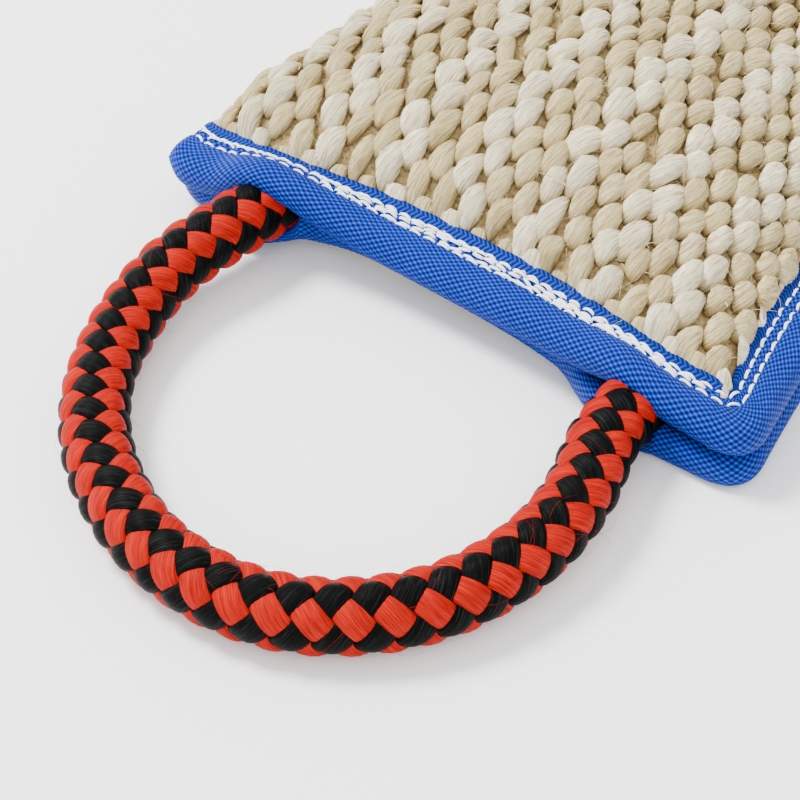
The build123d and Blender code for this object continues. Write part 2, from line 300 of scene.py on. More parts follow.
def tape_material():
    """Blue nylon tape: plain weave in small rounded cells, painted lighter on each cell's top as a highlight and darker
    in the gaps as shade.
    """
    n = Nodes("woven_tape")
    u, v = n.uv()
    edge = n.attr("edge")
    cell = n.math("MULTIPLY", n.math("COSINE", n.math("MULTIPLY", u, math.pi / 1.05)), n.math("COSINE", n.math("MULTIPLY", v, math.pi / 0.68)))
    side = n.math("COSINE", n.math("MULTIPLY", n.math("ADD", u, n.math("MULTIPLY", n.math("ABSOLUTE", n.math("SUBTRACT", v, 1.5)), 0.9)), 2 * math.pi / 1.4))
    fine = n.noise(n.vec(n.math("MULTIPLY", u, 9.0), n.math("MULTIPLY", v, 1.2), 0.0), 1.0, 2.0)
    blotch = n.noise(n.vec(n.math("MULTIPLY", u, 0.16), n.math("MULTIPLY", v, 0.3), 3.0), 1.0, 3.0)
    h = n.mix(edge, cell, side)
    hh = n.math("ADD", n.math("MULTIPLY", h, 0.5), n.math("ADD", n.math("MULTIPLY", n.math("SUBTRACT", fine, 0.5), 0.55), 0.5))
    # painted light: the weave's height sets the colour, a painted highlight on each cell's top and painted shade in the
    # gaps between cells
    col = n.ramp(hh, [(0.08, (0.0001, 0.0008, 0.028)), (0.30, (0.0004, 0.006, 0.14)), (0.54, (0.0010, 0.022, 0.31)), (1.0, (0.012, 0.105, 0.56))])
    col = n.mix(1.0, col, n.ramp(blotch, [(0.3, (0.80, 0.84, 0.92)), (0.65, (1.06, 1.05, 1.03))]), "MULTIPLY")
    col = n.mix(n.math("MULTIPLY", edge, 0.45), col, (0.0010, 0.012, 0.19))
    nb = n.bump(hh, 0.9, 0.0005)
    return n.done(col, nb, n.math("SUBTRACT", 0.56, n.math("MULTIPLY", fine, 0.2)), Specular_IOR_Level=0.10)


def strand_material(name, dark, mid, light, rough, spec):
    """One braid carrier: a flat bundle of glossy filaments that run along it, streaked along its length; on the black
    yarn the light streaks are painted glints.
    """
    n = Nodes(name)
    u, v = n.uv()
    rnd = n.attr("rnd")
    seed = n.math("MULTIPLY", rnd, 19.0)
    fil = n.noise(n.vec(n.math("MULTIPLY", u, 0.10), n.math("MULTIPLY", v, 3.4), seed), 1.5, 4.0, 0.7)
    clump = n.noise(n.vec(n.math("MULTIPLY", u, 0.22), n.math("MULTIPLY", v, 0.8), seed), 1.0, 2.0)
    # streaks from dark to light along the filaments; on the black yarn the light streaks are painted glints
    col = n.ramp(fil, [(0.30, dark), (0.54, mid), (0.80, light)])
    col = n.mix(1.0, col, n.ramp(clump, [(0.3, (0.82, 0.80, 0.80)), (0.6, (1.04, 1.04, 1.04))]), "MULTIPLY")
    nb = n.bump(n.math("ADD", fil, n.math("MULTIPLY", clump, 0.6)), 0.55, 0.00035)
    return n.done(col, nb, n.math("SUBTRACT", rough + 0.1, n.math("MULTIPLY", fil, 0.2)), Specular_IOR_Level=spec)


def thread_material():
    n = Nodes("white_sewing_thread")
    u, v = n.uv()
    ply = n.math("SINE", n.math("MULTIPLY", n.math("ADD", u, n.math("MULTIPLY", v, 0.5)), 7.5))
    fuzz = n.noise(n.vec(u, v, n.attr("rnd")), 4.0, 3.0)
    col = n.ramp(n.math("ADD", n.math("MULTIPLY", ply, 0.2), fuzz), [(0.25, lin(226, 229, 236)), (0.6, (0.96, 0.965, 0.97))])
    return n.done(col, n.bump(n.math("ADD", n.math("MULTIPLY", ply, 0.5), fuzz), 0.5, 0.0002), 0.62, Sheen_Weight=0.1)


def plain_weave(name, base, light, pitch, rough):
    """For the hidden inner layers: a small even weave or felt."""
    n = Nodes(name)
    c = n.new("ShaderNodeTexCoord").outputs["Object"]
    a = n.noise(c, 1.0 / pitch, 4.0)
    w = n.new("ShaderNodeTexWave", i_Scale=0.3 / pitch, i_Distortion=1.5, i_Detail=2.0)
    n.link(c, w.inputs["Vector"])
    s = n.math("ADD", n.math("MULTIPLY", a, 0.6), n.math("MULTIPLY", w.outputs["Fac"], 0.4))
    return n.done(n.ramp(s, [(0.25, base), (0.75, light)]), n.bump(s, 0.6, pitch * 0.4), rough)


JUTE, GROUND_WEFT_AND_SHADE, TAPE, THREAD = jute_material(), ground_cloth_material(), tape_material(), thread_material()
RED = strand_material("red_braid_yarn", (0.12, 0.0015, 0.0008), (0.34, 0.006, 0.002), (0.60, 0.026, 0.010), 0.50, 0.04)
# black yarn: its light colour is painted glints on the filaments
BLACK = strand_material("black_braid_yarn", (0.0004, 0.0004, 0.0005), (0.0012, 0.0013, 0.0013), (0.030, 0.034, 0.032), 0.42, 0.03)
CANVAS = plain_weave("liner_canvas", lin(196, 186, 166), lin(222, 214, 196), 0.0008, 0.9)
FOAM = plain_weave("foam_cells", lin(214, 208, 190), lin(238, 234, 222), 0.0006, 0.95)
FELT = plain_weave("felt_wadding", lin(128, 124, 118), lin(170, 166, 160), 0.0012, 0.97)
STRAP = plain_weave("black_strap_weave", lin(10, 10, 11), lin(44, 44, 46), 0.0010, 0.6)
for node, mat in (("canvas_liner", CANVAS), ("foam_core", FOAM), ("felt_layer_upper", FELT), ("felt_layer_lower", FELT),
                  ("anchor_strap", STRAP), ("tail_whipping_left", CANVAS), ("tail_whipping_right", CANVAS)):
    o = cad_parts[node]
    if not o.material_slots:
        o.data.materials.append(mat)
    for s in o.material_slots:
        s.material = mat

# ---------------------------------------------------------------- the cover's surface, as a table over x and t
# t runs 0..1 over the top from the bound side to the fold's apex, then 1..2 underneath and back.
XS = np.linspace(X_IN - 5.0, XB_IN + 5.0, 276)
NT = 220
UNDER = 1.7               # the underside's cloth lies this far up, so that its grains stay above the floor


def section(x):
    xc = float(np.clip(x, X_IN, XB_IN))
    high = float(crown_z(xc))
    y0, y1 = -float(side_y(xc)) + BAND - 4.5, float(side_y(xc))
    # the filling pulls the ends of the long sides in a little, which rounds the pad's corners
    y1 -= 0.6 * math.exp(-((x - X_IN) / 9.0) ** 2)
    # close to the binding the fold is squarer, where the lips hold it open
    square = math.exp(-((x - X_IN) / 24.0) ** 2)
    side_z = (0.42 + 0.12 * square) * high
    shape = [(0.12, 0.40), (0.28, 0.76), (0.48, 0.97), (0.66, 1.0)]
    top = [(y0, 16.2)] + [(y0 + (y1 - y0) * t, 16.2 + (high - 16.2) * k) for t, k in shape]
    top += [(y0 + (y1 - y0) * t, side_z + (high - side_z) * k) for t, k in [(0.84, 0.87 + 0.13 * square), (0.95, 0.54 + 0.36 * square)]]
    r = 0.5 * high
    low = [(y1 - 0.10 * r, side_z * 0.42 + UNDER), (y1 - 0.42 * r, 0.12 * side_z + UNDER), (y1 - 1.05 * r, UNDER)]
    whole = cubic_through(top + [(y1, side_z)] + low, 400)
    apex = int(whole[:, 0].argmax())
    bottom = np.vstack([whole[apex:], np.column_stack([np.linspace(low[-1][0] - 1.0, y0, 60), np.full(60, UNDER)])])

    def even(p):
        d = np.concatenate([[0], np.cumsum(np.linalg.norm(np.diff(p, axis=0), axis=1))])
        q = np.linspace(0, d[-1], NT)
        return np.column_stack([np.interp(q, d, p[:, 0]), np.interp(q, d, p[:, 1])])
    return even(whole[:apex + 1]), even(bottom)


TOP, BOT = np.zeros((len(XS), NT, 3)), np.zeros((len(XS), NT, 3))
for i, x in enumerate(XS):
    a, b = section(x)
    TOP[i, :, 0], BOT[i, :, 0] = x, x
    TOP[i, :, 1:], BOT[i, :, 1:] = a, b
inward = smooth(TOP[..., 1], 76, 90)
TOP[..., 2] += (edge_top(TOP[..., 1]) - 16.4) * near(TOP[..., 0], 26.0) * (1 - inward)
TOP[..., 0] += bow(TOP[..., 1]) * near(TOP[..., 0], 22.0) * 0.9
BOT[..., 2] += np.clip(low_edge(BOT[..., 1]) - 0.4, 0, None) * near(BOT[..., 0], 2.6) * (1 - smooth(BOT[..., 1], 60, 84))
# slack in the cloth: low broad swells
swell = 0.55 * np.sin(TOP[..., 0] / 21.0 + TOP[..., 1] / 34.0) * np.sin(TOP[..., 1] / 17.0 - 0.4) + 0.35 * np.sin(TOP[..., 0] / 9.5 + 1.2) * np.sin(TOP[..., 1] / 12.0)
TOP[..., 2] += swell * smooth(TOP[..., 0], X_IN, X_IN + 30) * smooth(-TOP[..., 0], -XB_IN, -XB_IN + 30) * (1 - smooth(TOP[..., 1], 40, 70))
SURF = np.concatenate([TOP, BOT[:, 1:]], axis=1)                      # x, t from 0 to 2
TS = np.linspace(0, 2, SURF.shape[1])
du, dv = np.gradient(SURF, axis=0), np.gradient(SURF, axis=1)
TAN = unit(du)
NORM = unit(np.cross(du, dv))


def look(table, x, t):
    """Bilinear look-up on the surface table."""
    fx = np.clip((x - XS[0]) / (XS[1] - XS[0]), 0, len(XS) - 1.001)
    ft = np.clip((t - TS[0]) / (TS[1] - TS[0]), 0, len(TS) - 1.001)
    i, j = fx.astype(int), ft.astype(int)
    a, b = (fx - i)[..., None], (ft - j)[..., None]
    return (table[i, j] * (1 - a) * (1 - b) + table[i + 1, j] * a * (1 - b) + table[i, j + 1] * (1 - a) * b + table[i + 1, j + 1] * a * b)


# cloth seen down between the grains, dark brown with painted shade
sink = 0.9
NORM_SIGN = 1.0 if NORM[len(XS) // 2, NT // 2, 2] > 0 else -1.0
step = (SURF - NORM * NORM_SIGN * sink)[::2, ::3].copy()
ge = np.maximum.reduce([X_IN + bow(step[..., 1]) * 0.9 - step[..., 0], -side_y(step[..., 0]) + BAND - step[..., 1], step[..., 0] - XB_IN])
on_top = (np.arange(SURF.shape[1])[::3] < NT)[None, :]
step[..., 2] += np.where(on_top, -2.6, 1.4) * smooth(ge, -1.4, 1.0)
step[..., 2] = np.maximum(step[..., 2], 0.3)
gq = grid_quads(step.shape[0], step.shape[1])
base_cloth = build("jute_ground_cloth", step.reshape(-1, 3), gq, GROUND_WEFT_AND_SHADE)

# ---------------------------------------------------------------- jute grains
PITCH, RUN = 4.13, 13.6
mid = SURF[len(XS) // 12]
arc_top = np.linalg.norm(np.diff(mid[:NT], axis=0), axis=1).sum()
arc_bot = np.linalg.norm(np.diff(mid[NT - 1:], axis=0), axis=1).sum()
cols_top, cols_bot = int(round(arc_top / PITCH)), int(round(arc_bot / PITCH))
tcol = np.concatenate([(np.arange(cols_top) + 0.5) / cols_top, 1 + (np.arange(cols_bot) + 0.5) / cols_bot])
cols = np.arange(len(tcol))
PHASE = 1
gx, gt, gtone, gcol = [], [], [], []
for c, t in zip(cols, tcol):
    xs = np.arange(X_IN - 2.0 + 6.8 * (c % 2), XB_IN + 4.0, RUN)
    gx.append(xs + rng.normal(0, 0.6, len(xs)))
    gt.append(np.full(len(xs), t) + rng.normal(0, 0.0011, len(xs)))
    gtone.append(np.full(len(xs), 1.0 if (c + PHASE) % 5 in (0, 1) else 0.0))
    gcol.append(np.full(len(xs), c))
gx, gt, gtone, gcol = map(np.concatenate, (gx, gt, gtone, gcol))
count = len(gx)
cream = gtone > 0.5
length = np.where(cream, 13.4, 12.4) * rng.normal(1, 0.08, count)
width = np.where(cream, 6.5, 5.7) * rng.normal(1, 0.08, count)
thick = np.where(cream, 4.8, 3.9) * rng.normal(1, 0.09, count)
tilt = np.radians(rng.normal(3, 7, count))
under = gt > 1.02
thick = np.where(under, np.minimum(thick, 3.0), thick)
P, T, N = look(SURF, gx, gt), unit(look(TAN, gx, gt)), unit(look(NORM, gx, gt))
N = N * NORM_SIGN
T = unit(T - N * (T * N).sum(-1, keepdims=True))
B = np.cross(N, T)
T, B = T * np.cos(tilt)[:, None] + B * np.sin(tilt)[:, None], B * np.cos(tilt)[:, None] - T * np.sin(tilt)[:, None]
NA, NR = 15, 18
s = np.linspace(-1, 1, NA)[None, :, None]
a = (np.arange(NR) / NR * 2 * math.pi)[None, None, :]
lop = rng.normal(0, 0.10, count)[:, None, None]
fat = np.clip(1 - np.abs(s + lop * (1 - s * s)) ** 2.3, 0, 1) ** 0.60 * (1 - 0.10 * s * rng.choice([-1, 1], count)[:, None, None])
ply = 1 + 0.055 * np.cos(3 * a + s * 2.6 + rng.uniform(0, 6.28, count)[:, None, None]) + 0.050 * np.cos(9 * a + s * 3.5 + rng.uniform(0, 6.28, count)[:, None, None])
shag = 1 + 0.04 * rng.normal(0, 1, (count, NA, NR))
across = np.cos(a) * fat * ply * shag * (width / 2)[:, None, None]
upward = np.sin(a) * fat * ply * shag * (thick / 2)[:, None, None]
arch = (thick * 0.30)[:, None, None] - (thick * 0.50)[:, None, None] * s ** 2
bend = 0.35 * (1 - s * s) * rng.normal(0, 1, count)[:, None, None]
along = s * (length / 2)[:, None, None]
off_n = arch + upward
# underneath, nothing may pass below the floor
co = P[:, None, None, :] + T[:, None, None, :] * (along + 0 * a)[..., None] + B[:, None, None, :] * (across + bend)[..., None] + N[:, None, None, :] * off_n[..., None]
lowest = np.where(co[..., 2] < 0.15, 0.15 - co[..., 2], 0.0)
co[..., 2] += lowest
# height of each point on its grain, which the jute material turns into painted shade low down and in the gaps
shade_depth = np.clip((off_n + 0.9) / (thick * 0.75 + 0.9)[:, None, None], 0, 1)
uu = along + 0 * a
vv = (a - math.pi / 2) * (width / 2)[:, None, None] + 0 * s
vv = across + 0.6 * upward
keep = (P[:, 0] > X_IN - 3.5 + bow(P[:, 1]) * 0.9) & (P[:, 0] < XB_IN + 3.5) & (P[:, 1] > -side_y(P[:, 0]) + BAND - 5.0)
shape4 = co.shape[:3]


def spread(v):
    return np.broadcast_to(v[:, None, None], shape4)[keep].reshape(-1)


nk = int(keep.sum())
gq = many(grid_quads(NA, NR, closed_v=True, flip=True), nk, NA * NR)
uv = np.stack([np.broadcast_to(uu, shape4)[keep].reshape(-1), np.broadcast_to(vv, shape4)[keep].reshape(-1)], -1)
grains = build("jute_cover_weave", co[keep].reshape(-1, 3), gq, JUTE, uv,
               {"tone": spread(gtone + rng.normal(0, 0.10, count)), "rnd": spread(rng.uniform(0, 1, count)),
                "shade_depth": np.broadcast_to(shade_depth, shape4)[keep].reshape(-1)})

# ---------------------------------------------------------------- loose jute fibres
def hairs(name, root, along_dir, up, n_seg, size, length, curl, mat, seed):
    """Thin curved fibres: three-sided tubes that start in the cloth and bend over it."""
    r = np.random.default_rng(seed)
    k = len(root)
    t = np.linspace(0, 1, n_seg)[None, :, None]
    side = np.cross(up, along_dir)
    ln = length[:, None, None]
    turn = (r.normal(0, 1, k) * curl)[:, None, None]
    lift = (r.uniform(0.15, 0.6, k))[:, None, None]
    c = root[:, None] + along_dir[:, None] * ln * t + side[:, None] * ln * turn * t * t + up[:, None] * ln * lift * np.sin(t * math.pi * 0.9) * 0.6
    d = unit(np.gradient(c, axis=1))
    e1 = unit(np.cross(d, up[:, None] + 0.01))
    e2 = np.cross(d, e1)
    ang = (np.arange(3) / 3 * 2 * math.pi)[None, None, :, None]
    rad = (size * (1 - 0.7 * t))[..., None]
    v = c[:, :, None] + (e1[:, :, None] * np.cos(ang) + e2[:, :, None] * np.sin(ang)) * rad
    v[..., 2] = np.maximum(v[..., 2], 0.1)
    q = many(grid_quads(n_seg, 3, closed_v=True), k, n_seg * 3)
    m = k * n_seg * 3
    uvs = np.stack([np.broadcast_to(t[..., None] * 5, v.shape[:3] + (1,)).reshape(-1), np.zeros(m)], -1)
    return build(name, v.reshape(-1, 3), q, mat, uvs, {"tone": np.full(m, 0.75), "rnd": np.repeat(r.uniform(0.4, 1, k), n_seg * 3), "shade_depth": np.full(m, 0.9)})


nh = 2600
hx, ht = rng.uniform(X_IN + 1, XB_IN - 1, nh), rng.uniform(0.01, 1.35, nh)
hp, hn, htn = look(SURF, hx, ht), unit(look(NORM, hx, ht)) * NORM_SIGN, unit(look(TAN, hx, ht))
hb = np.cross(hn, htn)
ha = rng.normal(0.3, 0.7, nh)[:, None]
hd = unit(htn * np.cos(ha) + hb * np.sin(ha)) * rng.choice([-1, 1], nh)[:, None]
fuzz = hairs("jute_fibres", hp + hn * rng.uniform(1.0, 2.0, nh)[:, None], hd, hn, 5, 0.055, rng.uniform(2.5, 7.5, nh), 0.5, JUTE, 3)

# ---------------------------------------------------------------- edge tapes
def side_band(x):
    """Visible width of the tape along the bound side: a little narrower next to the two corners."""
    return BAND - 2.8 * np.exp(-np.abs(x - X_IN) / 16.0) - 1.0 * np.exp(-np.abs(x - XB_IN) / 16.0)


def run_of_tape(step, set_back=0.0):
    """Plan of the tape, three sides: outer points, inner points, and the y that sets the lips' shape."""
    def even(p, n=None):
        d = np.concatenate([[0], np.cumsum(np.linalg.norm(np.diff(p, axis=0), axis=1))])
        n = n or max(2, int(round(d[-1] / step)))
        q = np.linspace(0, d[-1], n)
        return np.column_stack([np.interp(q, d, p[:, k]) for k in range(p.shape[1])])
    back = lambda y: set_back * smooth(y, -48, -30) * (1 - smooth(y, 44, 56)) + 0.8 * set_back * smooth(y, 60, 76)
    y = np.arange(87.6, -78.0, -step)
    outer1 = np.column_stack([-L2 + bow(y) + back(y), y])
    yi = 87.2 + (y - 87.6) * (87.2 + 72.6) / (87.6 + 78.0)
    inner1 = np.column_stack([X_IN + bow(yi) * 0.9, yi])
    # near corner: eased outside, sharp inside
    t = np.linspace(0, 1, 60)[:, None]
    c0, c1, c2 = np.array([outer1[-1], [-L2 + 0.2, -89.8], [-137.5, -float(side_y(-137.5))]])
    outer2 = even((1 - t) ** 2 * c0 + 2 * t * (1 - t) * c1 + t * t * c2)[1:]
    xi = -131.5
    i0, i2 = inner1[-1], np.array([xi, -float(side_y(xi)) + float(side_band(xi))])
    i1 = np.array([X_IN + 0.1, -float(side_y(X_IN)) + float(side_band(X_IN)) - 0.2])
    tt = np.linspace(0, 1, len(outer2) + 1)[1:, None]
    inner2 = (1 - tt) ** 2 * i0 + 2 * tt * (1 - tt) * i1 + tt * tt * i2
    x = np.linspace(-137.5, 137.5, int(275 / step))[1:]
    outer3 = np.column_stack([x, -side_y(x)])
    xj = -131.5 + (x + 137.5) * 263.0 / 275.0
    inner3 = np.column_stack([xj, -side_y(xj) + side_band(xj)])
    k0, k1, k2 = np.array([outer3[-1], [L2 - 0.2, -89.8], [L2, -78.0]])
    outer4 = even((1 - t) ** 2 * k0 + 2 * t * (1 - t) * k1 + t * t * k2)[1:]
    j0, j2 = inner3[-1], np.array([XB_IN, -72.6])
    j1 = np.array([XB_IN - 0.1, -float(side_y(XB_IN)) + float(side_band(XB_IN)) - 0.2])
    tt = np.linspace(0, 1, len(outer4) + 1)[1:, None]
    inner4 = (1 - tt) ** 2 * j0 + 2 * tt * (1 - tt) * j1 + tt * tt * j2
    y5 = np.arange(-78.0 + step, 87.6, step)
    outer5 = np.column_stack([np.full(len(y5), L2) - 3.4 * smooth(y5, 78, 90), y5])
    inner5 = np.column_stack([np.full(len(y5), XB_IN), -72.6 + (y5 + 78.0) * (87.6 + 72.6) / (87.6 + 78.0)])
    outer = np.vstack([outer1, outer2, outer3, outer4, outer5])
    inner = np.vstack([inner1, inner2, inner3, inner4, inner5])
    isnear = np.concatenate([np.ones(len(outer1)), np.linspace(1, 0, len(outer2)), np.zeros(len(outer3) + len(outer4) + len(outer5))])
    yy = np.concatenate([outer1[:, 1], np.full(len(outer2), -88.0), np.full(len(outer3) + len(outer4), -90.0), outer5[:, 1]])
    ends = np.minimum(np.arange(len(outer)), np.arange(len(outer))[::-1]) * step
    return outer, inner, isnear, yy, ends


def upper_levels(isnear, yy, outer):
    wob = 0.25 * np.sin(outer[:, 0] / 7.0 + outer[:, 1] / 5.5) + 0.18 * np.sin(outer[:, 0] / 3.1 - outer[:, 1] / 4.3)
    zt = isnear * edge_top(yy) + (1 - isnear) * 16.6
    zc = isnear * crease(yy) + (1 - isnear) * 8.5 + 0.5 * wob
    th = isnear * np.interp(yy, [-90, -62, -50, 0, 40, 50, 60, 68, 78, 90], [8.4, 7.6, 7.8, 7.8, 7.6, 7.0, 7.6, 9.2, 10.0, 9.8]) + (1 - isnear) * 7.7 + 0.3 * wob
    return zt, zc, th


def top_height(d, zt, zc, th):
    """Height of the upper tape's top leg at distance d in from its outer edge."""
    R = 4.4
    zf = zc + th
    k = np.clip((BAND - d) / (BAND - R), 0, 1)
    puff = 0.9 * np.sin(np.clip((d - 1.5) / 8.0, 0, 1) * math.pi)
    dips = -0.5 * np.exp(-((d - (BAND - 3.5)) / 0.8) ** 2) - 0.5 * np.exp(-((d - (BAND - 6.4)) / 0.8) ** 2)
    return zt + (zf - zt) * (k * k * (3 - 2 * k)) + puff + dips


def tape_points(outer, inner, zt, zc, th, ends, dv, lower=False):
    R = 4.4
    n1, n2, n3 = int(round((BAND - R) / dv)), int(round(math.pi * 4.1 / dv)), int(round(10.0 / dv))
    d = np.concatenate([[BAND - 0.25, BAND + 0.05], np.linspace(BAND, R, n1), R - R * np.cos(np.linspace(math.pi / 2, -math.pi / 2, n2 + 1)[1:]), np.linspace(R, 14.0, n3 + 1)[1:]])
    phi = np.linspace(math.pi / 2, -math.pi / 2, n2 + 1)[1:]
    zt, zc, th = zt[:, None], zc[:, None], th[:, None]
    S = len(outer)
    zin = top_height(np.full((1, 1), BAND), zt, zc, th)
    z_top = top_height(np.linspace(BAND, R, n1)[None], zt, zc, th)
    zR = z_top[:, -1:]
    mid = (zR + zc) / 2
    z_round = mid + (zR - zc) / 2 * np.sign(np.sin(phi))[None] * np.abs(np.sin(phi)[None]) ** 0.92
    z_bot = np.repeat(zc, n3, 1) + 0.2
    z = np.concatenate([zin - 1.3, zin - 0.6, z_top, z_round, z_bot], 1)
    cap = np.sqrt(np.clip(1 - (1 - np.clip(ends / 4.5, 0, 1)) ** 2, 0.0, 1))[:, None]
    centre = (z.max(1, keepdims=True) + z.min(1, keepdims=True)) / 2
    z = centre + (z - centre) * np.maximum(cap, 0.04)
    f = (d / BAND)[None, :, None]
    xy = outer[:, None] + (inner - outer)[:, None] * f
    co = np.concatenate([xy, z[..., None]], -1)
    v = np.concatenate([[-0.9, -0.45], np.arange(len(d) - 2) * dv])
    return co, v, d


def tape_mesh(name, co, v, du, amp, mirror=False):
    S, M = co.shape[:2]
    nrm = unit(np.cross(np.gradient(co, axis=0), np.gradient(co, axis=1)))
    if nrm[S // 2, M // 5, 2] * (-1 if mirror else 1) < 0:
        nrm = -nrm
    u = (np.arange(S) * du)[:, None]
    vv = v[None]
    edge = 1 - smooth(vv, 2.7, 3.2) + 0 * u
    cell = np.cos(u * math.pi / 0.7) * np.cos(vv * math.pi / 0.45)
    side = np.cos((u + np.abs(vv - 1.5) * 0.9) * 2 * math.pi / 1.4) * np.clip(np.sin(np.clip(vv, 0, 3.1) / 3.1 * math.pi), 0, 1)
    h = amp * (cell * (1 - edge) + 1.6 * side * edge)
    co = co + nrm * h[..., None]
    uv = np.stack([np.broadcast_to(u, (S, M)).reshape(-1), np.broadcast_to(vv, (S, M)).reshape(-1)], -1)
    q = grid_quads(S, M, flip=False)
    o = build(name, co.reshape(-1, 3), q, TAPE, uv, {"edge": np.broadcast_to(edge, (S, M)).reshape(-1)})
    return o


DU = 0.35
outer, inner, isnear, yy, ends = run_of_tape(DU)
zt, zc, th = upper_levels(isnear, yy, outer)
co, v, dd = tape_points(outer, inner, zt, zc, th, ends, 0.30)
upper_tape = tape_mesh("upper_edge_tape", co, v, DU, 0.15)
UP = dict(outer=outer, inner=inner, zt=zt, zc=zc, th=th, isnear=isnear)

louter, linner, lnear, lyy, lends = run_of_tape(0.7, set_back=6.0)
lob = lnear * low_edge(lyy) + (1 - lnear) * 0.45
roomy = lnear * np.clip(np.minimum(crease(lyy) - 0.5, lob + 7.6), lob + 2.6, None) + (1 - lnear) * 8.1
for yr, zr in ((TAIL_L, 14.6), (TAIL_R, 10.6)):
    gap = zr - np.sqrt(np.clip(8.6 ** 2 - (lyy - yr) ** 2, 0, None))
    hit = (np.abs(lyy - yr) < 8.6) & (lnear > 0.5)
    roomy = np.where(hit, np.minimum(roomy, np.maximum(gap, lob + 3.2)), roomy)
lth = roomy - lob
# the same profile turned over: its top leg becomes the face on the floor
lco, lv, _ = tape_points(louter, linner, np.zeros(len(lob)), -lth, lth, lends, 0.45)
flat_z = lco[..., 2]
lco[..., 2] = lob[:, None] - np.minimum(flat_z, 0.0) * 1.0
lco[..., 2] = np.maximum(lco[..., 2], 0.25)
lower_tape = tape_mesh("lower_edge_tape", lco, lv, 0.7, 0.08, mirror=True)

# ---------------------------------------------------------------- press the grains down where they pass under a tape
me = grains.data
flatco = np.zeros(len(me.vertices) * 3, np.float32)
me.vertices.foreach_get("co", flatco)
g = flatco.reshape(-1, 3).astype(float) * 1000
e = np.maximum.reduce([X_IN + bow(g[:, 1]) * 0.9 - g[:, 0], -side_y(g[:, 0]) + side_band(g[:, 0]) - g[:, 1], g[:, 0] - XB_IN])
is_top = np.repeat(~under[keep], NA * NR)
push = 4.6 * smooth(e, -1.3, 1.1) + 3.2 * smooth(-side_y(g[:, 0]) + side_band(g[:, 0]) - g[:, 1], 1.0, 2.8)
g[:, 2] = np.where(is_top, g[:, 2] - push, g[:, 2] + 2.6 * smooth(e, -1.6, 1.6))
g[:, 2] = np.maximum(g[:, 2], 0.15)
me.vertices.foreach_set("co", (g * 0.001).astype(np.float32).ravel())
me.update()

# ---------------------------------------------------------------- stitching
def row_on_upper(inset):
    """Points along the upper tape at a distance from its inner edge, and their up directions."""
    d = BAND - inset
    xy = UP["outer"] + (UP["inner"] - UP["outer"]) * (d / BAND)
    z = top_height(np.full(len(xy), d), UP["zt"], UP["zc"], UP["th"])
    z2 = top_height(np.full(len(xy), d - 0.6), UP["zt"], UP["zc"], UP["th"])
    into = unit(UP["inner"] - UP["outer"])
    up = unit(np.column_stack([into * ((z2 - z) / 0.6)[:, None], np.ones(len(xy))]))
    return np.column_stack([xy, z]), up


def threads(name, p0, p1, up, rad, seed, mid_lift=0.42, sink=0.30, sag=None):
    """Lockstitches: each thread comes up out of the tape, lies over it and goes down again."""
    r = np.random.default_rng(seed)
    k = len(p0)
    NL, NS = 9, 8
    t = np.linspace(0, 1, NL)
    d = unit(p1 - p0)
    side = unit(np.cross(d, up))
    lift = -sink + (mid_lift + sink) * np.sin(t * math.pi) ** 0.55
    c = p0[:, None] + (p1 - p0)[:, None] * t[None, :, None] + up[:, None] * lift[None, :, None]
    c = c + side[:, None] * (r.normal(0, 0.14, k)[:, None] * np.sin(t * math.pi)[None])[..., None]
    fat = (0.72 + 0.28 * np.sin(t * math.pi) ** 0.5)
    dd_ = unit(np.gradient(c, axis=1))
    e1 = unit(np.cross(dd_, up[:, None]))
    e2 = np.cross(e1, dd_)
    ang = np.arange(NS) / NS * 2 * math.pi
    rr = 0.76 * rad[:, None, None] * fat[None, :, None] * (1 + 0.07 * np.cos(2 * ang[None, None] - t[None, :, None] * 9))
    v = c[:, :, None] + e1[:, :, None] * (np.cos(ang)[None, None] * rr)[..., None] * 1.12 + e2[:, :, None] * (np.sin(ang)[None, None] * rr)[..., None] * 0.9
    ln = np.linalg.norm(p1 - p0, axis=1)
    uu_ = (t[None, :, None] * ln[:, None, None] + 0 * ang[None, None])
    vv_ = (ang[None, None] * rad[:, None, None] + 0 * t[None, :, None])
    v[..., 2] = np.maximum(v[..., 2], 0.12)
    q = many(grid_quads(NL, NS, closed_v=True), k, NL * NS)
    uv_ = np.stack([np.broadcast_to(uu_, v.shape[:3]).reshape(-1), np.broadcast_to(vv_, v.shape[:3]).reshape(-1)], -1)
    return build(name, v.reshape(-1, 3), q, THREAD, uv_, {"rnd": np.repeat(r.uniform(0, 1, k), NL * NS)})


def cut_row(pts, up, pitch, gap, start=0.0, jitter=0.12, seed=1, keep_fn=None, wobble=0.0):
    r = np.random.default_rng(seed)
    s_ = np.concatenate([[0], np.cumsum(np.linalg.norm(np.diff(pts, axis=0), axis=1))])
    a_ = np.arange(start, s_[-1] - pitch, pitch)
    a_ = a_ + r.normal(0, jitter, len(a_))
    b_ = a_ + pitch - gap
    f = lambda q, arr: np.column_stack([np.interp(q, s_, arr[:, i]) for i in range(3)])
    p0, p1, n_ = f(a_, pts), f(b_, pts), unit(f((a_ + b_) / 2, up))
    if wobble:
        across_ = unit(np.cross(p1 - p0, n_))
        p0 = p0 + across_ * r.normal(0, wobble, len(p0))[:, None]
        p1 = p1 + across_ * r.normal(0, wobble, len(p0))[:, None]
    m = keep_fn((p0 + p1) / 2) if keep_fn is not None else np.ones(len(p0), bool)
    return p0[m], p1[m], n_[m]


def row_object(name, inset, pitch, gap, rad, seed, keep_fn=None, wobble=0.0, start=2.5, lift=0.42):
    pts, up = row_on_upper(inset)
    p0, p1, n_ = cut_row(pts, up, pitch, gap, start, 0.12, seed, keep_fn, wobble)
    rr = np.random.default_rng(seed + 50)
    return threads(name, p0, p1, n_, rad * rr.normal(1, 0.06, len(p0)), seed, lift)


